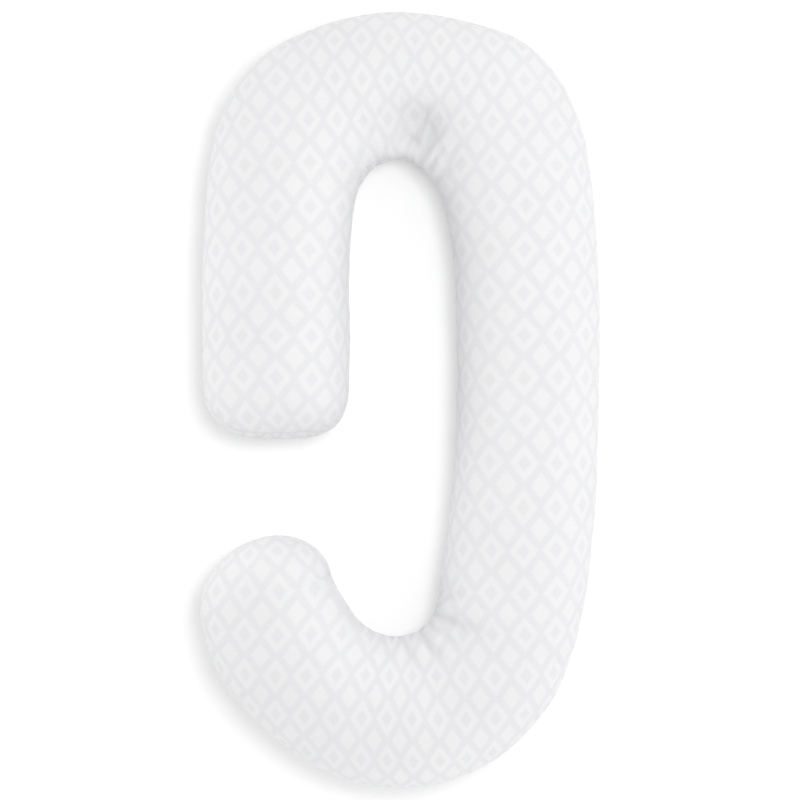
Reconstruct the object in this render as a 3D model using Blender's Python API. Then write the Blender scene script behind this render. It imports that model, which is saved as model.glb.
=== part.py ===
"""A wrap-around body pillow: one long filled tube of white cloth that bends into an open loop.

The case is two cloth panels of the same outline, sewn together all the way round and turned, so
that the seam runs along the sides. The filling rounds the panels into a crown, the seam draws the
sides in a little, and the cloth gathers where the loop bends inwards. The pillow lies on its back,
with its underside pressed flat along the middle of the tube.

Frame: +Z up, +Y towards the closed top of the loop, origin at the middle of the box on the floor.
Lengths are in metres, and the tables are in millimetres.
"""

import math
from collections import namedtuple

import bmesh
import bpy
import numpy as np

MM = 0.001

# Driving dimensions of the whole pillow
LENGTH = 1.450
WIDTH = 0.748
SEAM_LEVEL = 0.43  # height of the seam over the floor, as a share of the crown's height
FOOT_SHARE = 0.50  # how far the flat underside reaches from the spine towards the seam
SEAM_DRAW_IN = 4.5 * MM  # how far the stitching pulls the sides in

# Roundness of the tube: exponents of the superellipses that its section follows
CROWN_POWER = 2.15
SIDE_POWER = 2.3

# Fineness of the mesh
STATION_STEP = 25.0 * MM  # along the outer seam
CROWN_STEPS = 8  # from the spine to the seam, over the top
SIDE_STEPS = 6  # from the seam down to the foot
FOOT_STEPS = 2  # from the foot's edge to the spine underneath
END_STEPS = 14  # round each end of the tube

# Sections across the tube, from the end of the short arm, over the closed top, down the long
# back and round to the tip of the hook. Each row holds the seam's place on the inside of the
# loop, its place on the outside, and the height of the crown there.
# inner x, inner y, outer x, outer y, crown
SECTIONS = (
    (-94, 44, -367, 36, 180),
    (-94, 122, -370, 131, 186),
    (-95, 200, -370, 224, 189),
    (-94, 271, -366, 318, 188),
    (-89, 346, -357, 429, 186),
    (-77, 396, -329, 544, 188),
    (-55, 430, -265, 635, 187),
    (-28, 445, -154, 697, 183),
    (-3, 448, -10, 725, 181),
    (26, 440, 123, 707, 182),
    (56, 417, 235, 666, 186),
    (76, 385, 310, 583, 189),
    (91, 337, 347, 484, 190),
    (103, 258, 365, 352, 188),
    (107, 146, 374, 178, 190),
    (107, 19, 374, 9, 188),
    (104, -103, 372, -131, 191),
    (95, -192, 365, -243, 190),
    (84, -277, 351, -355, 188),
    (72, -368, 325, -467, 188),
    (58, -406, 275, -580, 186),
    (37, -431, 196, -660, 184),
    (11, -441, 106, -708, 184),
    (-17, -443, 0, -725, 185),
    (-49, -434, -103, -709, 187),
    (-77, -414, -198, -659, 188),
    (-99, -383, -287, -581, 187),
    (-116, -355, -344, -505, 184),
    (-129, -329, -374, -402, 178),
)

# The rounded ends of the tube. Reach is how far the tip lies beyond the last section, and the two
# powers say how square the corner is on the inside and on the outside of the loop.
# reach x, reach y, inner power, outer power
SHORT_ARM_END = (0, -114, 3.9, 2.5)
HOOK_END = (-8, 106, 1.8, 2.2)

# Gathers, where the cloth bunches over the seam and fans out towards the crown. A row gives the
# section that the fold starts from at the seam, counted along the table above with fractions, how
# many sections it leans by its far end, its depth below the smooth surface or, if negative, its
# height above it, its half width, and how far it reaches, as a share of the way to the spine.
# section, lean, depth, half width, reach
INNER_FOLDS = (
    (5.10, 0.5, 2.5, 9, 0.45),
    (5.85, 0.7, 3.5, 8, 0.55),
    (6.50, 0.9, 4.5, 7, 0.65),
    (6.95, 0.6, -2.0, 6, 0.50),
    (7.45, 0.5, 5.5, 7, 0.70),
    (7.85, 0.4, -2.5, 6, 0.60),
    (8.27, 0.4, 10.0, 7, 0.90),
    (8.90, 0.1, -3.0, 8, 0.75),
    (9.50, -0.2, 7.5, 8, 0.80),
    (10.00, -0.2, -2.0, 7, 0.50),
    (10.45, -0.3, 4.5, 8, 0.60),
    (11.25, -0.2, 3.0, 10, 0.45),
    (19.10, -0.5, 2.5, 8, 0.45),
    (19.75, -0.6, 4.5, 7, 0.60),
    (20.30, -0.4, 5.5, 7, 0.65),
    (20.75, -0.3, -2.0, 6, 0.50),
    (21.15, -0.2, 6.0, 7, 0.65),
    (21.75, -0.2, -2.5, 7, 0.55),
    (22.30, -0.2, 6.0, 7, 0.65),
    (23.15, 0.1, 4.5, 7, 0.50),
    (23.90, 0.1, 4.0, 8, 0.45),
    (25.10, 0.2, 2.0, 10, 0.40),
    (27.00, 0.0, 4.0, 6, 0.40),
    (27.55, 0.1, 2.5, 6, 0.30),
)
OUTER_FOLDS = (
    (0.60, 0.2, 2.5, 16, 0.35),
    (4.80, 0.1, 2.0, 22, 0.40),
    (11.40, -0.1, 2.0, 22, 0.40),
    (20.20, 0.2, 2.5, 16, 0.35),
    (20.75, 0.1, 3.0, 14, 0.40),
    (21.30, 0.2, 3.0, 16, 0.35),
    (25.60, -0.1, 2.0, 20, 0.35),
)
FOLD_PEAK = 0.86  # share of the way from spine to seam at which a fold is deepest
FOLD_AT_SEAM = 0.35  # what is left of its depth at the seam, which holds the cloth
FOLD_SPREAD = 0.8  # how much wider it is at its far end


def clear_scene():
    for obj in list(bpy.data.objects):
        bpy.data.objects.remove(obj, do_unlink=True)


def smooth_stations(step):
    """Rows as in SECTIONS, in metres, on smooth curves through it and about step apart on the
    outer seam, with the section number of each."""
    table = np.array(SECTIONS, float) * MM
    along = np.linalg.norm(np.diff(table[:, 2:4], axis=0), axis=1)
    knots = np.concatenate([[0.0], np.cumsum(along)])
    slopes = np.gradient(table, knots, axis=0)
    wanted = np.linspace(0.0, knots[-1], round(knots[-1] / step) + 1)
    row = np.clip(np.searchsorted(knots, wanted, side="right") - 1, 0, len(knots) - 2)
    span = (knots[row + 1] - knots[row])[:, None]
    t = (wanted - knots[row])[:, None] / span
    stations = (
        (2 * t**3 - 3 * t**2 + 1) * table[row]
        + (t**3 - 2 * t**2 + t) * span * slopes[row]
        + (3 * t**2 - 2 * t**3) * table[row + 1]
        + (t**3 - t**2) * span * slopes[row + 1]
    )
    return stations, row + t[:, 0]


def signed_power(value, power):
    return math.copysign(abs(value) ** power, value)


def end_outline(inner, outer, reach, inner_power, outer_power):
    """Points of the seam round an end of the tube, from just past outer to just before inner."""
    middle = (inner + outer) / 2
    half = (inner - outer) / 2
    points = []
    for k in range(1, END_STEPS):
        turn = math.pi * k / END_STEPS
        across, out = -math.cos(turn), math.sin(turn)
        power = 2 / (inner_power if across > 0 else outer_power)
        points.append(middle + half * signed_power(across, power) + reach * out**power)
    return points


def half_section():
    """(share of the way from spine to seam, level) down one side of the tube, without the two
    points on the spine. The level is 1 on the crown, 0 at the seam and -1 on the floor."""
    points = []
    for k in range(1, CROWN_STEPS + 1):
        angle = math.pi / 2 * k / CROWN_STEPS
        share = math.sin(angle) ** (2 / CROWN_POWER)
        points.append((share, max(0.0, math.cos(angle)) ** (2 / CROWN_POWER)))
    points[-1] = (1.0, 0.0)
    for k in range(1, SIDE_STEPS):
        angle = math.pi / 2 * k / SIDE_STEPS
        share = FOOT_SHARE + (1 - FOOT_SHARE) * math.cos(angle) ** (2 / SIDE_POWER)
        points.append((share, -(math.sin(angle) ** (2 / SIDE_POWER))))
    for k in range(FOOT_STEPS):
        points.append((FOOT_SHARE * (1 - k / FOOT_STEPS), -1.0))
    return points


# One run of points from the crown's spine out to the seam, and back to the spine underneath.
# Pitch is the seam's length there for one step of the section number.
Column = namedtuple("Column", "spine spine_number edge crown side section pitch")


def columns_round_the_seam():
    """Every column, in order round the seam, and the number of spine points."""
    stations, sections = smooth_stations(STATION_STEP)
    inner, outer, crowns = stations[:, 0:2], stations[:, 2:4], stations[:, 4]
    spine = (inner + outer) / 2
    inner_pitch = np.linalg.norm(np.gradient(inner, sections, axis=0), axis=1)
    outer_pitch = np.linalg.norm(np.gradient(outer, sections, axis=0), axis=1)
    last = len(stations) - 1

    def on_side(number, edges, side, pitches):
        place = (spine[number], number, edges[number], crowns[number])
        return Column(*place, side, sections[number], pitches[number])

    def round_end(number, shape):
        reach_x, reach_y, inner_power, outer_power = shape
        reach = np.array((reach_x, reach_y)) * MM
        edges = end_outline(inner[number], outer[number], reach, inner_power, outer_power)
        place = (spine[number], number)
        return [Column(*place, edge, crowns[number], "end", 0.0, 0.0) for edge in edges]

    columns = [on_side(k, outer, "outer", outer_pitch) for k in range(last + 1)]
    columns += round_end(last, HOOK_END)
    columns += [on_side(k, inner, "inner", inner_pitch) for k in range(last, -1, -1)]
    columns += reversed(round_end(0, SHORT_ARM_END))
    return columns, last + 1


def smooth_step(x):
    x = min(max(x, 0.0), 1.0)
    return x * x * (3 - 2 * x)


def fold_depth(column, share):
    """How far the gathers lower the surface at a share of the way from spine to seam."""
    folds = {"inner": INNER_FOLDS, "outer": OUTER_FOLDS, "end": ()}[column.side]
    depth = 0.0
    for section, lean, deepest, half_width, reach in folds:
        out = (1 - share) / reach
        if out >= 1:
            continue
        width = half_width * MM * (1 + FOLD_SPREAD * out)
        offset = (column.section - section - lean * out) * column.pitch / width
        climb = smooth_step((share - 1 + reach) / (FOLD_PEAK - 1 + reach))
        held = (1 - FOLD_AT_SEAM) * smooth_step((share - FOLD_PEAK) / (1 - FOLD_PEAK))
        depth += deepest * MM * math.exp(-offset * offset) * (climb - held)
    return depth


def tube_mesh():
    """The filled tube as a bmesh: a loft of half sections round the seam, closed at the spine."""
    columns, spine_count = columns_round_the_seam()
    section = half_section()
    bm = bmesh.new()
    tops, soles = [None] * spine_count, [None] * spine_count
    runs, depths = [], {}
    for column in columns:
        number = column.spine_number
        if tops[number] is None:
            x, y = column.spine
            tops[number] = bm.verts.new((x, y, column.crown))
            soles[number] = bm.verts.new((x, y, 0.0))
        run = [tops[number]]
        half_width = float(np.linalg.norm(column.edge - column.spine))
        seam_height = SEAM_LEVEL * column.crown
        for share, level in section:
            drawn = share - (SEAM_DRAW_IN / half_width if level == 0 else 0.0)
            x, y = column.spine + (column.edge - column.spine) * drawn
            rise = (column.crown - seam_height) if level > 0 else seam_height
            vert = bm.verts.new((x, y, seam_height + rise * level))
            if level > -1:
                depths[vert] = fold_depth(column, share)
            run.append(vert)
        run.append(soles[number])
        runs.append(run)
    for run, after in zip(runs, runs[1:] + runs[:1]):
        for k in range(len(run) - 1):
            corners = list(dict.fromkeys((run[k], run[k + 1], after[k + 1], after[k])))
            bm.faces.new(corners)
    bmesh.ops.recalc_face_normals(bm, faces=bm.faces)
    bm.normal_update()
    normals = {vert: vert.normal.copy() for vert in depths}
    for vert, depth in depths.items():
        vert.co -= normals[vert] * depth
        vert.co.z = max(vert.co.z, 0.0)
    return bm


def fit_to_box(bm):
    """Brings the outline to the driving length and width, centred on the origin."""
    for axis, size in ((0, WIDTH), (1, LENGTH)):
        low = min(vert.co[axis] for vert in bm.verts)
        high = max(vert.co[axis] for vert in bm.verts)
        for vert in bm.verts:
            vert.co[axis] = (vert.co[axis] - (low + high) / 2) * size / (high - low)


def white_cloth():
    material = bpy.data.materials.new("white_cloth")
    material.use_nodes = True
    shader = material.node_tree.nodes["Principled BSDF"]
    shader.inputs["Base Color"].default_value = (0.80, 0.80, 0.82, 1.0)
    shader.inputs["Roughness"].default_value = 0.85
    shader.inputs["Metallic"].default_value = 0.0
    return material


def make_pillow(collection):
    bm = tube_mesh()
    fit_to_box(bm)
    mesh = bpy.data.meshes.new("pillow")
    bm.to_mesh(mesh)
    bm.free()
    mesh.shade_smooth()
    mesh.materials.append(white_cloth())
    pillow = bpy.data.objects.new("pillow", mesh)
    collection.objects.link(pillow)
    return pillow


def main():
    clear_scene()
    collection = bpy.data.collections.new("wrap_around_pillow")
    bpy.context.scene.collection.children.link(collection)
    make_pillow(collection)


main()
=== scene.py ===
"""The looks of a wrap-around body pillow: a filled tube of white figured cloth that bends into an
open loop. It lies on its back on a white studio floor, and the camera looks straight down on it.
"""

import bpy
import numpy as np
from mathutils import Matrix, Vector, noise


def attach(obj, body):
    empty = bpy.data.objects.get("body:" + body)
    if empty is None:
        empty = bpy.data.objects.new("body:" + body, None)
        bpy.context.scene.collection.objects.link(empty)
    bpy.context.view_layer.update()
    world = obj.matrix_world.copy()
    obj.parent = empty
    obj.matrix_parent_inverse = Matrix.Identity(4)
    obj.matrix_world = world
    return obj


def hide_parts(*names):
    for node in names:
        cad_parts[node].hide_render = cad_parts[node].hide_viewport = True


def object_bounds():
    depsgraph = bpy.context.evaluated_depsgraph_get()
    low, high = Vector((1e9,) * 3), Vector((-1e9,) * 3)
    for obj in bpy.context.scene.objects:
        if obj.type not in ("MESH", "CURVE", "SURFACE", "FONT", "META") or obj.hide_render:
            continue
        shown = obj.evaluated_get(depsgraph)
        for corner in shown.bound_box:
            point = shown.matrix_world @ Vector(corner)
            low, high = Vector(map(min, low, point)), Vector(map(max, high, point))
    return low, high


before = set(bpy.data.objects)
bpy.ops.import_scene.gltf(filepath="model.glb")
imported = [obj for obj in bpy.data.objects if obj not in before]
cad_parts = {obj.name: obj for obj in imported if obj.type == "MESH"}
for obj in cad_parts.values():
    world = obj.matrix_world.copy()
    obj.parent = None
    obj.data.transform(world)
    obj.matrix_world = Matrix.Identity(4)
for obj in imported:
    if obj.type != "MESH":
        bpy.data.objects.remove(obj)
cad_low, cad_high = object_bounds()
scene = bpy.context.scene

# Pillow
# One cushion: two panels of woven cotton cut to the same curved outline, sewn together all the
# way round, turned and filled with loose fibre. The filling rounds the panels, the seam draws the
# sides in at SEAM_LEVEL of the crown's height, and the cloth gathers where the loop bends inwards.
# Lengths in millimetres.
MM = 0.001

# How square the profile is above and below its widest line, where the seam lies as a share of the
# crown's height, and how much of the width rests on the floor.
CROWN_POWER = 2.15
SIDE_POWER = 2.3
SEAM_LEVEL = 0.43
FOOT_SHARE = 0.50

# Sections from the end of the short arm, over the closed top, down the long back and round to
# the tip of the hook. Lift is how far the seam runs above the widest line of the tube.
# inner x, inner y, outer x, outer y, crown, inner lift, outer lift
SECTIONS = (
    (-94, 44, -367, 36, 180, 8, 22),
    (-94, 122, -370, 131, 186, 2, 6),
    (-95, 200, -370, 224, 189, 0, -4),
    (-94, 271, -366, 318, 188, 4, -4),
    (-89, 346, -357, 429, 186, 12, -2),
    (-77, 396, -329, 544, 188, 20, 0),
    (-55, 430, -265, 635, 187, 22, 0),
    (-28, 445, -154, 697, 183, 16, -4),
    (-3, 448, -10, 725, 181, 6, -6),
    (26, 440, 123, 707, 182, -4, -6),
    (56, 417, 235, 666, 186, -8, -4),
    (76, 385, 310, 583, 189, -8, -2),
    (91, 337, 347, 484, 190, -6, 0),
    (103, 258, 365, 352, 188, -2, 0),
    (107, 146, 374, 178, 190, 0, -2),
    (107, 19, 374, 9, 188, 0, -2),
    (104, -103, 372, -131, 191, -2, 0),
    (95, -192, 365, -243, 190, -4, 0),
    (84, -277, 351, -355, 188, -6, 2),
    (72, -368, 325, -467, 188, -4, 6),
    (58, -406, 275, -580, 186, 0, 14),
    (37, -431, 196, -660, 184, 4, 22),
    (11, -441, 106, -708, 184, 6, 12),
    (-17, -443, 0, -725, 185, 4, 4),
    (-49, -434, -103, -709, 187, 0, 0),
    (-77, -414, -198, -659, 188, 4, -4),
    (-99, -383, -287, -581, 187, 10, -4),
    (-116, -355, -344, -505, 184, 14, 0),
    (-129, -329, -374, -402, 178, 14, 4),
)

# Round the tight bends the filling is squeezed flat towards the seam. The squeeze is deepest at
# PINCH_PEAK, a share of the way from the spine to the edge.
# section, lean, depth, half width, reach
INNER_PINCHES = (
    (8.80, 0.0, 24.0, 50, 1.00),
    (20.60, 0.0, 10.0, 46, 1.00),
)
PINCH_PEAK = 0.62
PINCH_AT_SEAM = 0.0

# The main gathers over the seam, which fan out towards the crown. Lean is how many sections a fold
# has drifted by its far end, a negative depth is a ridge, and reach is a share of the way to the
# spine. A fold is deepest at FOLD_PEAK, keeps FOLD_AT_SEAM of its depth at the seam, and is wider
# by FOLD_SPREAD at its far end.
# section, lean, depth, half width, reach
INNER_FOLDS = (
    (5.10, 0.5, 2.5, 9, 0.45),
    (5.85, 0.7, 3.0, 8, 0.50),
    (6.50, 0.9, 3.5, 7, 0.60),
    (6.95, 0.6, -1.5, 6, 0.50),
    (7.40, 0.5, 5.0, 6, 0.65),
    (7.90, 0.4, -3.0, 5, 0.60),
    (8.32, 0.2, 6.0, 4, 0.45),
    (8.50, 0.3, 32.0, 15, 1.00),
    (9.15, 0.3, 9.0, 8, 0.80),
    (9.75, 0.0, 4.0, 6, 0.60),
    (10.05, -0.2, -2.0, 7, 0.50),
    (10.45, -0.3, 5.0, 8, 0.55),
    (11.25, -0.2, 3.0, 10, 0.45),
    (19.10, -0.5, 4.5, 9, 0.50),
    (19.80, -0.5, 9.0, 8, 0.90),
    (20.35, -0.3, 6.0, 7, 0.70),
    (20.75, -0.3, -2.5, 5, 0.40),
    (21.10, -0.1, 6.5, 7, 0.55),
    (21.75, -0.2, -2.0, 6, 0.45),
    (22.30, -0.2, 5.0, 8, 0.50),
    (23.15, 0.1, 4.0, 7, 0.50),
    (23.90, 0.1, 4.0, 8, 0.45),
    (25.10, 0.2, 2.0, 10, 0.40),
    (27.00, 0.0, 4.0, 6, 0.40),
    (27.55, 0.1, 2.5, 6, 0.30),
)
OUTER_FOLDS = (
    (0.60, 0.2, 2.5, 16, 0.35),
    (4.80, 0.1, 2.0, 22, 0.40),
    (11.40, -0.1, 2.0, 22, 0.40),
    (20.20, 0.2, 2.5, 16, 0.35),
    (20.75, 0.1, 3.0, 14, 0.40),
    (21.30, 0.2, 3.0, 16, 0.35),
    (25.60, -0.1, 2.0, 20, 0.35),
)
FOLD_PEAK = 0.82
FOLD_AT_SEAM = 0.16
FOLD_SPREAD = 0.8

# The rounded ends: how far the tip lies beyond the last section, how square its corners are, and
# how far the seam climbs at the middle of the end.
# reach x, reach y, inner power, outer power, climb
SHORT_ARM_END = (0, -115, 3.2, 2.5, 34)
HOOK_END = (-8, 106, 1.8, 2.2, 8)

# How fine the mesh is, and how far the seam pulls the cloth in
STATION_STEP = 10.0
EVENING_PASSES = 30
END_STEPS = 46
PROFILE_STEPS = 80
TOP_STEPS = 19
UNDER_STEPS = 12
SEAM_SIDE = 4.5
SEAM_DRAW_IN = 4.0
ARM_END_DRAW_IN = 2.5
OUTER, HOOK, INNER, ARM = range(4)


def smooth_step(x):
    """0 below 0, 1 above 1, and a smooth climb between."""
    x = np.clip(x, 0.0, 1.0)
    return x * x * (3 - 2 * x)


def smooth_stations(step):
    """Rows of SECTIONS on smooth curves, about step apart on the outer seam, with their numbers."""
    table = np.array(SECTIONS, float)
    along = np.linalg.norm(np.diff(table[:, 2:4], axis=0), axis=1)
    knots = np.concatenate([[0.0], np.cumsum(along)])
    slopes = np.gradient(table, knots, axis=0)
    wanted = np.linspace(0.0, knots[-1], round(knots[-1] / step) + 1)
    row = np.clip(np.searchsorted(knots, wanted, side="right") - 1, 0, len(knots) - 2)
    span = (knots[row + 1] - knots[row])[:, None]
    t = (wanted - knots[row])[:, None] / span
    stations = (
        (2 * t**3 - 3 * t**2 + 1) * table[row]
        + (t**3 - 2 * t**2 + t) * span * slopes[row]
        + (3 * t**2 - 2 * t**3) * table[row + 1]
        + (t**3 - t**2) * span * slopes[row + 1]
    )
    return stations, row + t[:, 0]


def evened(path):
    """The path without its small corners, and with its two ends where they were."""
    path = path.copy()
    for _ in range(EVENING_PASSES):
        path[1:-1] = path[1:-1] / 2 + (path[:-2] + path[2:]) / 4
    return path


def end_outline(inner, outer, shape):
    """The outline round an end, from the outer seam to the inner, and the seam's climb along it."""
    reach = np.array(shape[:2], float)
    turn = np.pi * np.arange(1, END_STEPS) / END_STEPS
    across, out = -np.cos(turn), np.sin(turn)
    power = 2 / np.where(across > 0, shape[2], shape[3])
    sideways = np.sign(across) * np.abs(across) ** power
    middle, half = (inner + outer) / 2, (inner - outer) / 2
    outline = middle + sideways[:, None] * half + (out**power)[:, None] * reach
    return outline, shape[4] * out


stations, numbers = smooth_stations(STATION_STEP)
inner, outer, crowns = evened(stations[:, 0:2]), stations[:, 2:4], stations[:, 4]
spine = (inner + outer) / 2
count = len(stations)
hook_outline, hook_climb = end_outline(inner[-1], outer[-1], HOOK_END)
arm_outline, arm_climb = end_outline(inner[0], outer[0], SHORT_ARM_END)
between = np.arange(1, END_STEPS) / END_STEPS
hook_lift = hook_climb + stations[-1, 6] + (stations[-1, 5] - stations[-1, 6]) * between
arm_lift = arm_climb + stations[0, 6] + (stations[0, 5] - stations[0, 6]) * between

# Columns of points run from the spine over the top, the seam and the underside back to the middle.
# They go round the whole seam: outer side, hook end, inner side, and the short arm's end.
runs = [
    (np.arange(count), outer, OUTER, stations[:, 6]),
    (np.full(END_STEPS - 1, count - 1), hook_outline, HOOK, hook_lift),
    (np.arange(count)[::-1], inner[::-1], INNER, stations[::-1, 5]),
    (np.zeros(END_STEPS - 1, int), arm_outline[::-1], ARM, arm_lift[::-1]),
]
station = np.concatenate([run[0] for run in runs])
edge = np.concatenate([run[1] for run in runs])
side = np.concatenate([np.full(len(run[0]), run[2]) for run in runs])
lift = np.concatenate([run[3] for run in runs])
section = numbers[station]
seam_gap = np.linalg.norm(np.roll(edge, -1, axis=0) - np.roll(edge, 1, axis=0), axis=1) / 2
seam_run = np.cumsum(seam_gap)
pitch = {
    INNER: np.linalg.norm(np.gradient(inner, numbers, axis=0), axis=1),
    OUTER: np.linalg.norm(np.gradient(outer, numbers, axis=0), axis=1),
}
half_width = np.linalg.norm(edge - spine[station], axis=1)
outward = (edge - spine[station]) / half_width[:, None]

# The profile of half a section, from the crown down to the middle of the foot
angle = np.linspace(0, np.pi / 2, PROFILE_STEPS)
WIDEST = PROFILE_STEPS - 1
upper = (np.sin(angle) ** (2 / CROWN_POWER), np.cos(angle) ** (2 / CROWN_POWER))
lower = (
    FOOT_SHARE + (1 - FOOT_SHARE) * np.cos(angle[1:]) ** (2 / SIDE_POWER),
    -(np.sin(angle[1:]) ** (2 / SIDE_POWER)),
)
shares = np.concatenate([upper[0], lower[0], [0.0]])
levels = np.concatenate([upper[1], lower[1], [-1.0]])
levels[WIDEST] = 0.0
seam_height = SEAM_LEVEL * crowns[station]
rise = np.where(levels > 0, (crowns[station] - seam_height)[:, None], seam_height[:, None])
profile_out = shares * half_width[:, None]
profile_up = seam_height[:, None] + rise * levels
steps = np.hypot(np.diff(profile_out, axis=1), np.diff(profile_up, axis=1))
profile_arc = np.concatenate([np.zeros((len(steps), 1)), np.cumsum(steps, axis=1)], axis=1)
seam_arc = profile_arc[:, WIDEST] - lift
total_arc = profile_arc[:, -1]

# Rings of points down each column: over the top, the seam, and underneath
top_share = np.linspace(0, 1, TOP_STEPS)[1:]
under_share = np.linspace(0, 1, UNDER_STEPS)[:-1]
ring_arc = np.concatenate(
    [
        top_share * (seam_arc - SEAM_SIDE)[:, None],
        seam_arc[:, None],
        (seam_arc + SEAM_SIDE)[:, None]
        + under_share * (total_arc - seam_arc - SEAM_SIDE)[:, None],
    ],
    axis=1,
)
SEAM_RING = TOP_STEPS - 1
out = np.array([np.interp(a, s, x) for a, s, x in zip(ring_arc, profile_arc, profile_out)])
up = np.array([np.interp(a, s, z) for a, s, z in zip(ring_arc, profile_arc, profile_up)])
share = out / half_width[:, None]


def fold_depths(folds, which, peak=FOLD_PEAK, at_seam=FOLD_AT_SEAM):
    """How far the gathers lower each point on one side of the tube, in millimetres."""
    depth = np.zeros_like(share)
    rows = side == which
    for number, lean, deepest, width, reach in folds:
        away = (1 - share[rows]) / reach
        spread = width * (1 + FOLD_SPREAD * np.clip(away, 0, 1))
        offset = (section[rows][:, None] - number - lean * away) * pitch[which][station[rows]][:, None]
        climb = smooth_step((share[rows] - 1 + reach) / (peak - 1 + reach))
        held = (1 - at_seam) * smooth_step((share[rows] - peak) / (1 - peak))
        fold = deepest * np.exp(-((offset / spread) ** 2)) * (climb - held)
        depth[rows] += np.where(away < 1, fold, 0)
    return depth


points = np.empty((len(edge), ring_arc.shape[1], 3))
points[:, :, :2] = spine[station][:, None, :] + out[:, :, None] * outward[:, None, :]
points[:, :, 2] = up

# Corner grid: the spine on top, the rings, and the spine underneath
columns, rings = ring_arc.shape
grid = np.empty((columns, rings + 2), int)
grid[:, 0] = station
grid[:, -1] = count + station
grid[:, 1:-1] = 2 * count + np.arange(columns * rings).reshape(columns, rings)
tops = np.column_stack([spine, crowns])
soles = np.column_stack([spine, np.zeros(count)])
smooth_points = np.concatenate([tops, soles, points.reshape(-1, 3)])
after = np.roll(grid, -1, axis=0)
faces = np.stack([grid[:, :-1], after[:, :-1], after[:, 1:], grid[:, 1:]], axis=-1).reshape(-1, 4)


def normals_of(places, faces):
    """Unit normals at the points, from the faces round them."""
    diagonals = places[faces[:, 2]] - places[faces[:, 0]], places[faces[:, 3]] - places[faces[:, 1]]
    across = np.cross(*diagonals)
    total = np.zeros_like(places)
    for corner in range(4):
        np.add.at(total, faces[:, corner], across)
    return total / np.linalg.norm(total, axis=1)[:, None]


def push_in(places, normals, depth):
    """Moves the places inwards by the depths of the columns' rings, in millimetres."""
    depth[up <= 0] = 0
    places[2 * count:] -= normals[2 * count:] * depth.reshape(-1, 1)
    places[:, 2] = np.maximum(places[:, 2], 0)


gathers = fold_depths(INNER_FOLDS, INNER) + fold_depths(OUTER_FOLDS, OUTER)
gathers[:, SEAM_RING] += np.where(side == ARM, ARM_END_DRAW_IN, SEAM_DRAW_IN)
places = smooth_points.copy()
pinches = fold_depths(INNER_PINCHES, INNER, PINCH_PEAK, PINCH_AT_SEAM)
push_in(places, normals_of(places, faces), pinches)
plain_normals = normals_of(places, faces)

# The loose filling leaves the cloth a little uneven, though not near the floor.
LUMPS_FROM = 40.0
# size of a lump, height
LUMPS = ((230, 2.2), (110, 1.8), (55, 1.0), (30, 0.35))
lumps = np.zeros(len(places))
for size, height in LUMPS:
    lumps += height * np.array([noise.noise(Vector(p) / size) for p in places])
lumps *= smooth_step(places[:, 2] / LUMPS_FROM)
places += plain_normals * lumps[:, None]

# Shallow hollows, where the fibre has moved away
HOLLOWS_FROM = 90.0
# middle x, middle y, half width, half length, turned by degrees, depth
HOLLOWS = (
    (-280, 265, 30, 130, 3, 6.0),
    (-292, -445, 36, 75, -25, 5.5),
    (-150, 560, 30, 90, -50, 2.5),
    (215, 90, 26, 210, 2, 2.0),
    (70, -560, 34, 110, 70, 2.5),
)
for x, y, half_across, half_along, turned, deepest in HOLLOWS:
    rightward, upward = places[:, 0] - x, places[:, 1] - y
    turn = np.radians(turned)
    along = upward * np.cos(turn) - rightward * np.sin(turn)
    beside = rightward * np.cos(turn) + upward * np.sin(turn)
    dent = deepest * np.exp(-((along / half_along) ** 2) - (beside / half_across) ** 2)
    places[:, 2] -= dent * smooth_step(places[:, 2] / HOLLOWS_FROM)


def fit_to_solid(places):
    """The places in metres, centred and as long and wide as the solid."""
    fitted = places * MM
    for axis in (0, 1):
        low, high = fitted[:, axis].min(), fitted[:, axis].max()
        scale = (cad_high[axis] - cad_low[axis]) / (high - low)
        fitted[:, axis] = (fitted[:, axis] - (low + high) / 2) * scale
    return fitted


pillow_mesh = bpy.data.meshes.new("pillow_cover")
corners = [tuple(dict.fromkeys(face)) for face in faces.tolist()]
pillow_mesh.from_pydata((places * MM).tolist(), [], corners)
pillow_mesh.update()
pillow = bpy.data.objects.new("pillow_cover", pillow_mesh)
scene.collection.objects.link(pillow)

# Filling the cover: the cloth has some length to spare round the inner bends, where it was cut for
# a straighter tube. Blown up against the seam and the floor, that length buckles into wrinkles. The
# solid already has the filled shape, so the swelling as a whole is taken out again.
# section, how far it spreads, share of the most spare cloth
INNER_SPARE = ((8.4, 1.9, 1.0), (21.6, 1.7, 1.0), (27.3, 0.7, 0.5))
OUTER_SPARE = ((20.9, 1.3, 0.35), (11.5, 1.5, 0.18))
MOST_SPARE = 0.07
SPARE_FROM = 0.35
SPARE_FADE = 0.5
SEAM_HELD = 0.92
HELD_BELOW = 2.0
LEAST_WEIGHT = 0.001
FILLING_PRESSURE = 4.0
LAST_FRAME = 20
SWELL_STEPS = 60
LEAST_MOVE, MOST_MOVE = 1e-6, 9.0


def spare_share(bends, which):
    """How much spare cloth each column has, as a share of the most."""
    reach = np.zeros(columns)
    for number, spread, most in bends:
        reach = np.maximum(reach, most * np.exp(-(((section - number) / spread) ** 2)))
    return np.where(side == which, reach, 0)


def swell_of(moves):
    """The moves without the wrinkles: each point goes half way to its neighbours' mean, often."""
    links = np.concatenate([faces[:, [0, 1]], faces[:, [1, 2]], faces[:, [2, 3]], faces[:, [3, 0]]])
    number = np.zeros(len(moves))
    np.add.at(number, links[:, 0], 1)
    np.add.at(number, links[:, 1], 1)
    swell = moves.copy()
    for _ in range(SWELL_STEPS):
        total = np.zeros_like(swell)
        np.add.at(total, links[:, 0], swell[links[:, 1]])
        np.add.at(total, links[:, 1], swell[links[:, 0]])
        swell = (swell + total / number[:, None]) / 2
    return swell


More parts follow.
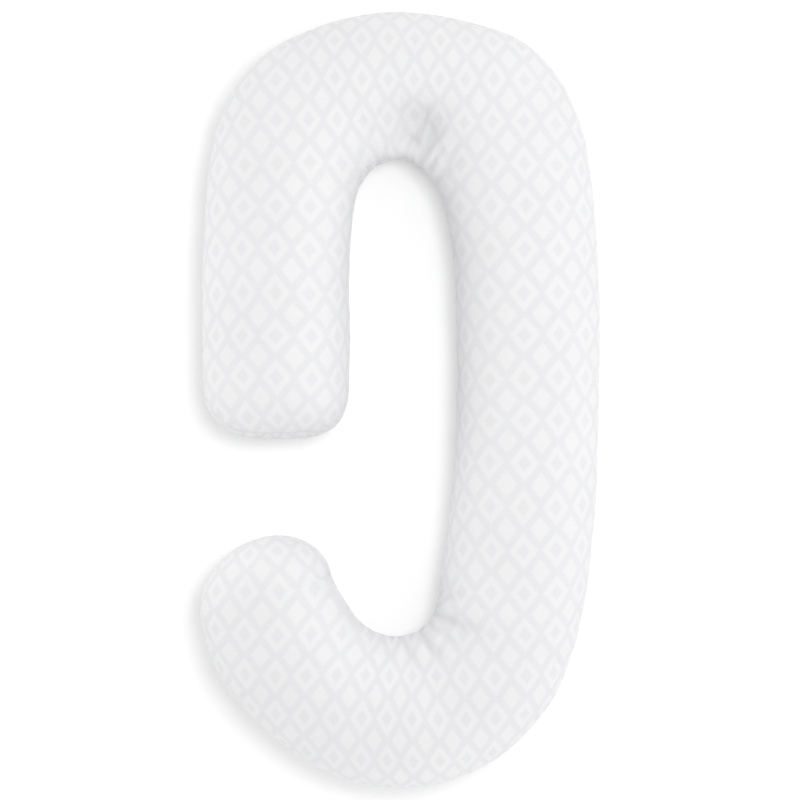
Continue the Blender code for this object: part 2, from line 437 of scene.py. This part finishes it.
spare = np.zeros(len(places))
spread_share = spare_share(INNER_SPARE, INNER) + spare_share(OUTER_SPARE, OUTER)
toward_seam = smooth_step((share - SPARE_FROM) / SPARE_FADE)
spare[2 * count:] = (spread_share[:, None] * toward_seam).ravel()
held = np.where(places[:, 2] < HELD_BELOW, 1.0, 0.0)
held[grid[:, 1 + SEAM_RING]] = SEAM_HELD
for name, weights in (("spare_cloth", spare), ("held", held)):
    group = pillow.vertex_groups.new(name=name)
    for index in np.flatnonzero(weights > LEAST_WEIGHT):
        group.add([int(index)], float(weights[index]), "REPLACE")
filling = pillow.modifiers.new("filling", "CLOTH")
cloth = filling.settings
cloth.quality = 6
cloth.mass = 0.15
cloth.tension_stiffness = 20
cloth.compression_stiffness = 20
cloth.shear_stiffness = 8
cloth.bending_stiffness = 0.05
cloth.use_pressure = True
cloth.uniform_pressure_force = FILLING_PRESSURE
cloth.effector_weights.gravity = 0
cloth.shrink_min = 0
cloth.shrink_max = -MOST_SPARE
cloth.vertex_group_shrink = "spare_cloth"
cloth.vertex_group_mass = "held"
filling.collision_settings.use_collision = False
for number in range(1, LAST_FRAME + 1):
    scene.frame_set(number)
filled = pillow.evaluated_get(bpy.context.evaluated_depsgraph_get()).data
moved = np.empty(3 * len(places))
filled.vertices.foreach_get("co", moved)
pillow.modifiers.remove(filling)
scene.frame_set(1)
pillow.vertex_groups.clear()
moves = moved.reshape(-1, 3) / MM - places
moves -= swell_of(moves)
length = np.maximum(np.linalg.norm(moves, axis=1), LEAST_MOVE)[:, None]
places += moves / length * MOST_MOVE * np.tanh(length / MOST_MOVE)

# The gathers come last, because the pressure would close them into thin slits.
push_in(places, plain_normals, gathers)
pillow_mesh.vertices.foreach_set("co", fit_to_solid(places).ravel())

# The panels lie flat before they are sewn, so the woven figure follows the cloth's own length over
# the crown, and the cloth is packed closer where it gathers. Map of each corner in tiles.
TILE = (64.0, 78.0)
LEAST_SPREAD = 0.1
TIGHT, EASY = 0.45, 0.95
SPARE_WIDTH = 75.0
SQUEEZE_AT_INNER, SQUEEZE_AT_OUTER = 85.0, 250.0
SQUEEZE_POWER = 1.5
SQUEEZE_MIDDLE = 4.0
DRIFT, DRIFT_OVER = 6.0, 130.0
DRIFT_STARTS = (Vector((0, 0, 0)), Vector((9, 9, 9)))

spine_pitch = np.linalg.norm(np.gradient(spine, numbers, axis=0), axis=1)[station]
tightness = np.where(side == INNER, pitch[INNER][station] / spine_pitch, 1.0)
ease = LEAST_SPREAD + (1 - LEAST_SPREAD) * smooth_step((tightness - TIGHT) / (EASY - TIGHT))
sideways = np.where(side == INNER, 1.0, np.where(side == OUTER, -1.0, 0.0))
for end, outline in ((HOOK, hook_outline), (ARM, arm_outline[::-1])):
    turn = np.linspace(-1, 1, len(outline) + 2)[1:-1]
    sideways[side == end] = turn if end == HOOK else -turn


def flat_map(arc):
    """Where points at these lengths from the spine lie in the flat panel, in tiles."""
    lateral = out + (arc - out) * ease[:, None]
    flat = np.empty((columns, rings + 2, 2))
    flat[:, 1:-1] = spine[station][:, None, :] + lateral[:, :, None] * outward[:, None, :]
    flat[:, 0] = flat[:, -1] = spine[station]
    inwardness = np.zeros((columns, rings + 2))
    inwardness[:, 1:-1] = share * sideways[:, None]
    nearness = (1 + inwardness) / 2
    squeeze = SQUEEZE_AT_OUTER + (SQUEEZE_AT_INNER - SQUEEZE_AT_OUTER) * nearness**SQUEEZE_POWER
    flat[:, :, 0] += SPARE_WIDTH * np.tanh((flat[:, :, 0] - SQUEEZE_MIDDLE) / squeeze)
    return flat / TILE


# Stuffed cloth never keeps its grain quite straight.
drift = [[noise.noise(Vector(p) / DRIFT_OVER + start) for p in places] for start in DRIFT_STARTS]
drift = np.stack(drift, axis=1)[grid] * DRIFT / TILE
top_map = flat_map(ring_arc) + drift
under_map = flat_map(total_arc[:, None] - ring_arc) * (-1, 1) + drift
is_top = np.arange(rings + 1) <= SEAM_RING


def at_corners(values):
    """The grid's values at the four corners of each face."""
    ahead = np.roll(values, -1, axis=0)
    return np.stack([values[:, :-1], ahead[:, :-1], ahead[:, 1:], values[:, 1:]], axis=2)


corner_map = np.where(is_top[None, :, None, None], at_corners(top_map), at_corners(under_map))
corner_map = corner_map.reshape(-1, 4, 2)

# Round an end the columns share the last point of the spine, so the faces there have three corners.
kept = np.ones(corner_map.shape[:2], bool)
kept[:, 1] = faces[:, 1] != faces[:, 0]
kept[:, 3] = faces[:, 3] != faces[:, 2]
panel_map = pillow_mesh.uv_layers.new(name="panels")
panel_map.uv.foreach_set("vector", corner_map[kept].ravel())

# Small puckers along the seam, where the stitches hold in more cloth than the seam is long.
# from section, to section, depth, wave length
INNER_PUCKERS = (
    (4.0, 8.0, 2.0, 11),
    (8.0, 10.4, 3.0, 10),
    (10.4, 12.5, 1.3, 12),
    (18.5, 24.5, 1.6, 12),
    (24.5, 28.0, 1.3, 12),
)
OUTER_PUCKERS = ((19.6, 22.8, 1.8, 17), (0.0, 2.0, 0.8, 17), (10.0, 13.0, 0.5, 18))
END_PUCKERS = (0.6, 15)
PLAIN_PUCKERS = (0.3, 20)
PUCKER_REACH = 15.0
PUCKER_RAMP = 6
DEPTH_CHANGES, DEPTH_CHANGES_OVER = 1.2, 31.0
LENGTH_CHANGES, LENGTH_CHANGES_OVER = 0.5, 47.0
LEAST_DEPTH, MOST_DEPTH = 0.2, 1.8
CLOSING_COLUMNS = 4
FAR_FROM_SEAM = 200.0
PUCKERS_FROM = 30.0

pucker_depth = np.full(columns, float(PLAIN_PUCKERS[0]))
wave_length = np.full(columns, float(PLAIN_PUCKERS[1]))
for table, which in ((INNER_PUCKERS, INNER), (OUTER_PUCKERS, OUTER)):
    for first, last, deepest, length in table:
        rows = (side == which) & (section >= first) & (section <= last)
        part = (section[rows] - first) / (last - first)
        ramp = smooth_step(PUCKER_RAMP * part) * smooth_step(PUCKER_RAMP * (1 - part))
        pucker_depth[rows] = deepest * ramp
        wave_length[rows] = length
pucker_depth[(side == HOOK) | (side == ARM)] = END_PUCKERS[0]
wave_length[(side == HOOK) | (side == ARM)] = END_PUCKERS[1]
deeper = [noise.noise(Vector((run / DEPTH_CHANGES_OVER, 7.0, 3.0))) for run in seam_run]
longer = [noise.noise(Vector((run / LENGTH_CHANGES_OVER, 1.0, 9.0))) for run in seam_run]
pucker_depth *= np.clip(1 + DEPTH_CHANGES * np.array(deeper), LEAST_DEPTH, MOST_DEPTH)
wave_length *= 1 + LENGTH_CHANGES * np.array(longer)
close = np.minimum(np.arange(columns), columns - 1 - np.arange(columns)) / CLOSING_COLUMNS
pucker_depth *= smooth_step(close)
pucker_phase = np.cumsum(2 * np.pi * seam_gap / wave_length)


def keep_on_points(name, values, elsewhere):
    """A value for each point of the grid, which the finer mesh then has between them as well."""
    every = np.full(len(places), float(elsewhere))
    every[2 * count:] = values.ravel()
    layer = pillow_mesh.attributes.new(name, "FLOAT", "POINT")
    layer.data.foreach_set("value", every)


keep_on_points("seam_distance", ring_arc - seam_arc[:, None], FAR_FROM_SEAM)
keep_on_points("pucker_depth", np.repeat(pucker_depth[:, None], rings, axis=1), 0)
keep_on_points("pucker_phase", np.repeat(pucker_phase[:, None], rings, axis=1), 0)

ends = np.empty(2 * len(pillow_mesh.edges), int)
pillow_mesh.edges.foreach_get("vertices", ends)
on_seam = np.isin(ends.reshape(-1, 2), grid[:, 1 + SEAM_RING]).all(axis=1)
crease = pillow_mesh.attributes.new("crease_edge", "FLOAT", "EDGE")
crease.data.foreach_set("value", on_seam.astype(float))

subdivision = pillow.modifiers.new("finer_cloth", "SUBSURF")
subdivision.levels = subdivision.render_levels = 1
depsgraph = bpy.context.evaluated_depsgraph_get()
cover_mesh = bpy.data.meshes.new_from_object(
    pillow.evaluated_get(depsgraph), preserve_all_data_layers=True, depsgraph=depsgraph
)
pillow.modifiers.clear()
pillow.data = cover_mesh
bpy.data.meshes.remove(pillow_mesh)
cover_mesh.name = "pillow_cover"


def point_values(name, width=1):
    """What each point of the finished mesh holds: its place, its normal or a named value."""
    values = np.empty(width * len(cover_mesh.vertices))
    if name == "normal":
        cover_mesh.vertex_normals.foreach_get("vector", values)
    elif name == "co":
        cover_mesh.vertices.foreach_get("co", values)
    else:
        cover_mesh.attributes[name].data.foreach_get("value", values)
    return values.reshape(-1, width) if width > 1 else values


fine_places = point_values("co", 3)
fade = np.exp(-((point_values("seam_distance") / PUCKER_REACH) ** 2))
wave = (1 + np.cos(point_values("pucker_phase"))) / 2
sunk = point_values("pucker_depth") * fade * wave * smooth_step(fine_places[:, 2] / MM / PUCKERS_FROM)
fine_places -= point_values("normal", 3) * sunk[:, None] * MM
cover_mesh.vertices.foreach_set("co", fine_places.ravel())
for name in ("pucker_depth", "pucker_phase", "crease_edge"):
    if name in cover_mesh.attributes:
        cover_mesh.attributes.remove(cover_mesh.attributes[name])
cover_mesh.shade_smooth()
cover_mesh.update()

# Cloth of the cover: white cotton woven with a tone-on-tone figure. The ground is a matt plain
# weave, a shade greyer, and the figure is lighter and smoother, because its threads float.
# Lozenges in half-drop rows, open and solid ones by turns. Lengths in millimetres; the threads are
# drawn three times coarser than real ones, so that a near view shows them.
GROUND = "#e1e1e3"
FIGURE = "#e6e6e7"
RING_OUTSIDE, RING_INSIDE = 0.86, 0.40
SOLID_OUTSIDE = 0.60
FIGURE_EDGE = 0.07
FIGURE_STEP = 1.8
THREAD = 1.2
THREAD_HEIGHT = 0.12
SLUB_LENGTH, SLUB_WIDTH = 70.0, 2.4
CREASE_SIZE, CREASE_HEIGHT = 24.0, 0.5
TONE_SIZE = 150.0
NOISE_LOW, NOISE_HIGH = 0.3, 0.7
STREAK_SHADE, PATCH_SHADE = 0.985, 0.98
GROUND_ROUGHNESS, FIGURE_ROUGHNESS = 0.85, 0.60
COTTON_IOR = 1.53
NAP_SHEEN, NAP_ROUGHNESS = 0.08, 0.5


def srgb(code):
    """The linear colour of an sRGB hex code."""
    parts = [int(code[i:i + 2], 16) / 255 for i in (1, 3, 5)]
    return [p / 12.92 if p <= 0.04045 else ((p + 0.055) / 1.055) ** 2.4 for p in parts] + [1.0]


def add_node(tree, kind, feeds, **settings):
    """A node with its settings, each input linked to a socket or set to a value."""
    node = tree.nodes.new("ShaderNode" + kind)
    for name, value in settings.items():
        setattr(node, name, value)
    for place, feed in feeds.items():
        if isinstance(feed, bpy.types.NodeSocket):
            tree.links.new(feed, node.inputs[place])
        else:
            node.inputs[place].default_value = feed
    return node


cotton = bpy.data.materials.new("figured_white_cotton")
cotton.use_nodes = True
tree = cotton.node_tree
shader = tree.nodes["Principled BSDF"]

# The figure: how far a point lies from the middle of its lozenge, 0 there and 1 at the border. It is
# woven in steps of a few threads, which leaves its edges a little uneven.
panels = add_node(tree, "UVMap", {}, uv_map="panels")
step = (FIGURE_STEP / TILE[0], FIGURE_STEP / TILE[1], 1)
stepped = add_node(tree, "VectorMath", {0: panels.outputs["UV"], 1: step}, operation="SNAP")
tile = add_node(tree, "VectorMath", {0: stepped.outputs[0]}, operation="FRACTION")
centred = add_node(tree, "VectorMath", {0: tile.outputs[0], 1: (0.5, 0.5, 0)}, operation="SUBTRACT")
folded = add_node(tree, "VectorMath", {0: centred.outputs[0]}, operation="ABSOLUTE")
split = add_node(tree, "SeparateXYZ", {0: folded.outputs[0]})
total = add_node(tree, "Math", {0: split.outputs[0], 1: split.outputs[1]}, operation="ADD")
doubled = add_node(tree, "Math", {0: total.outputs[0], 1: 2.0, 2: -1.0}, operation="MULTIPLY_ADD")
border = add_node(tree, "Math", {0: doubled.outputs[0]}, operation="ABSOLUTE")
lozenge = add_node(tree, "Math", {0: 1.0, 1: border.outputs[0]}, operation="SUBTRACT")


def inside(limit):
    """1 inside this much of the lozenge, 0 outside, with a soft step between."""
    return add_node(
        tree,
        "MapRange",
        {0: lozenge.outputs[0], 1: limit + FIGURE_EDGE, 2: limit - FIGURE_EDGE, 3: 0.0, 4: 1.0},
    ).outputs[0]


ring = add_node(tree, "Math", {0: inside(RING_OUTSIDE), 1: inside(RING_INSIDE)}, operation="SUBTRACT")
is_solid = add_node(tree, "Math", {0: doubled.outputs[0], 1: 0.0}, operation="GREATER_THAN")
figure = add_node(
    tree,
    "Mix",
    {0: is_solid.outputs[0], 2: ring.outputs[0], 3: inside(SOLID_OUTSIDE)},
)
woven = add_node(
    tree,
    "Mix",
    {0: figure.outputs[0], 6: srgb(GROUND), 7: srgb(FIGURE)},
    data_type="RGBA",
)

# Uneven yarn makes faint streaks along the weft, and washing leaves the white a little uneven.
in_mm = add_node(tree, "VectorMath", {0: panels.outputs["UV"], 1: (*TILE, 1)}, operation="MULTIPLY")
yarn = add_node(
    tree,
    "VectorMath",
    {0: in_mm.outputs[0], 1: (1 / SLUB_LENGTH, 1 / SLUB_WIDTH, 1)},
    operation="MULTIPLY",
)
slub = add_node(tree, "TexNoise", {"Vector": yarn.outputs[0], "Scale": 1.0, "Detail": 2.0})
patchy = add_node(tree, "TexNoise", {"Vector": in_mm.outputs[0], "Scale": 1 / TONE_SIZE, "Detail": 3.0})
streaks = add_node(
    tree, "MapRange", {0: slub.outputs[0], 1: NOISE_LOW, 2: NOISE_HIGH, 3: STREAK_SHADE, 4: 1.0}
)
patches = add_node(
    tree, "MapRange", {0: patchy.outputs[0], 1: NOISE_LOW, 2: NOISE_HIGH, 3: PATCH_SHADE, 4: 1.0}
)
shade = add_node(tree, "Math", {0: streaks.outputs[0], 1: patches.outputs[0]}, operation="MULTIPLY")
colour = add_node(
    tree,
    "VectorMath",
    {0: woven.outputs[2], "Scale": shade.outputs[0]},
    operation="SCALE",
)
tree.links.new(colour.outputs[0], shader.inputs["Base Color"])

# Threads: they cross one over one in the ground, and lie side by side in the figure. Under them the
# cloth is softly creased, as washed cotton is.
thread_turns = add_node(
    tree,
    "VectorMath",
    {0: in_mm.outputs[0], 1: (np.pi / THREAD, np.pi / THREAD, 0)},
    operation="MULTIPLY",
)
waves = add_node(tree, "VectorMath", {0: thread_turns.outputs[0]}, operation="SINE")
warp_weft = add_node(tree, "SeparateXYZ", {0: waves.outputs[0]})
crossing = add_node(
    tree, "Math", {0: warp_weft.outputs[0], 1: warp_weft.outputs[1]}, operation="MULTIPLY"
)
floating = add_node(tree, "Math", {0: warp_weft.outputs[1]}, operation="ABSOLUTE")
threads = add_node(
    tree, "Mix", {0: figure.outputs[0], 2: crossing.outputs[0], 3: floating.outputs[0]}
)
creasing = add_node(
    tree, "TexNoise", {"Vector": in_mm.outputs[0], "Scale": 1 / CREASE_SIZE, "Detail": 2.0}
)
soft_creases = add_node(
    tree,
    "Bump",
    {"Height": creasing.outputs[0], "Distance": CREASE_HEIGHT * MM, "Strength": 1.0},
)
surface = add_node(
    tree,
    "Bump",
    {
        "Height": threads.outputs[0],
        "Distance": THREAD_HEIGHT * MM,
        "Strength": 1.0,
        "Normal": soft_creases.outputs[0],
    },
)
tree.links.new(surface.outputs[0], shader.inputs["Normal"])

# The floating threads of the figure shine a little more, and the nap has a faint sheen.
rough = add_node(
    tree, "Mix", {0: figure.outputs[0], 2: GROUND_ROUGHNESS, 3: FIGURE_ROUGHNESS}
)
tree.links.new(rough.outputs[0], shader.inputs["Roughness"])
shader.inputs["IOR"].default_value = COTTON_IOR
shader.inputs["Sheen Weight"].default_value = NAP_SHEEN
shader.inputs["Sheen Roughness"].default_value = NAP_ROUGHNESS
cover_mesh.materials.clear()
cover_mesh.materials.append(cotton)
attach(pillow, "root")
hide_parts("pillow")

# Floor
# A sheet of matt white studio paper. It glows a little, as paper lit from behind does, so that it
# burns out to plain white but for the thin shadow beside the pillow.
PAPER = "#eeeeee"
GLOW = 0.18
FLOOR_RADIUS = 40.0
FLOOR_CORNERS = 72
FLOOR_GAP = 0.0003

floor_mesh = bpy.data.meshes.new("floor")
floor_corners = [
    (FLOOR_RADIUS * np.cos(turn), FLOOR_RADIUS * np.sin(turn), -FLOOR_GAP)
    for turn in 2 * np.pi * np.arange(FLOOR_CORNERS) / FLOOR_CORNERS
]
floor_mesh.from_pydata(floor_corners, [], [tuple(range(FLOOR_CORNERS))])
floor = bpy.data.objects.new("floor", floor_mesh)
scene.collection.objects.link(floor)

paper = bpy.data.materials.new("white_studio_paper")
paper.use_nodes = True
paper_shader = paper.node_tree.nodes["Principled BSDF"]
paper_shader.inputs["Base Color"].default_value = srgb(PAPER)
paper_shader.inputs["Roughness"].default_value = 0.9
paper_shader.inputs["Specular IOR Level"].default_value = 0.0
paper_shader.inputs["Emission Color"].default_value = (1, 1, 1, 1)
paper_shader.inputs["Emission Strength"].default_value = GLOW
floor_mesh.materials.append(paper)

# Light
# A white room whose walls are brighter than its ceiling, most of all on the right, a wide soft lamp
# overhead that draws the thin shadow, and low ones round the left for the sides that face away.
ROOM_LIGHT = 1.163
BRIGHTER_TOWARDS = (0.235, 0.073, -0.654)
LAMPS_AIM = Vector((0, 0, 0.05))

scene.view_settings.view_transform = "Standard"
room = bpy.data.worlds.new("white_room")
scene.world = room
room.use_nodes = True
walls = room.node_tree.nodes["Background"]
direction = add_node(room.node_tree, "TexCoord", {})
brighter = add_node(
    room.node_tree,
    "VectorMath",
    {0: direction.outputs["Generated"], 1: BRIGHTER_TOWARDS},
    operation="DOT_PRODUCT",
)
strength = add_node(
    room.node_tree, "Math", {0: brighter.outputs["Value"], 1: ROOM_LIGHT}, operation="ADD"
)
room.node_tree.links.new(strength.outputs[0], walls.inputs["Strength"])
walls.inputs["Color"].default_value = (1, 1, 1, 1)

# The lamps on the left are shaded from the paper, so that they don't wash out the shadow there.
# name, place, size, power, whether it lights the paper too
LAMPS = (
    ("overhead_lamp", (0.57, 0.42, 3.1), 1.1, 37.4, True),
    ("left_lamp", (-1.7, 0.2, 0.25), 0.5, 4.6, False),
    ("upper_left_lamp", (-1.0, 1.5, 0.45), 0.8, 1.4, False),
    ("lower_left_lamp", (-1.1, -1.45, 0.4), 0.8, 2.6, False),
    ("lower_lamp", (0.4, -1.9, 0.35), 0.8, 2.5, True),
)
cloth_only = bpy.data.collections.new("cloth_only")
cloth_only.objects.link(pillow)
for name, place, size, power, lights_paper in LAMPS:
    light = bpy.data.lights.new(name, "AREA")
    light.size = size
    light.energy = power
    lamp = bpy.data.objects.new(name, light)
    lamp.location = place
    lamp.rotation_euler = (LAMPS_AIM - Vector(place)).to_track_quat("-Z", "Y").to_euler()
    scene.collection.objects.link(lamp)
    if not lights_paper:
        lamp.light_linking.receiver_collection = cloth_only

# Camera
# A long lens straight above the middle of the pillow. The picture is as wide as PICTURE_WIDTH at
# the height of the seam, where the outline lies.
CAMERA_HEIGHT = 4.0
PICTURE_WIDTH = 1.496
SENSOR = 36.0

camera = bpy.data.objects.new("camera", bpy.data.cameras.new("camera"))
camera.location = (0.0, 0.0, CAMERA_HEIGHT)
camera.data.sensor_width = SENSOR
camera.data.lens = SENSOR * (CAMERA_HEIGHT - SEAM_LEVEL * cad_high.z) / PICTURE_WIDTH
camera.data.clip_end = 100.0
scene.collection.objects.link(camera)
scene.camera = camera
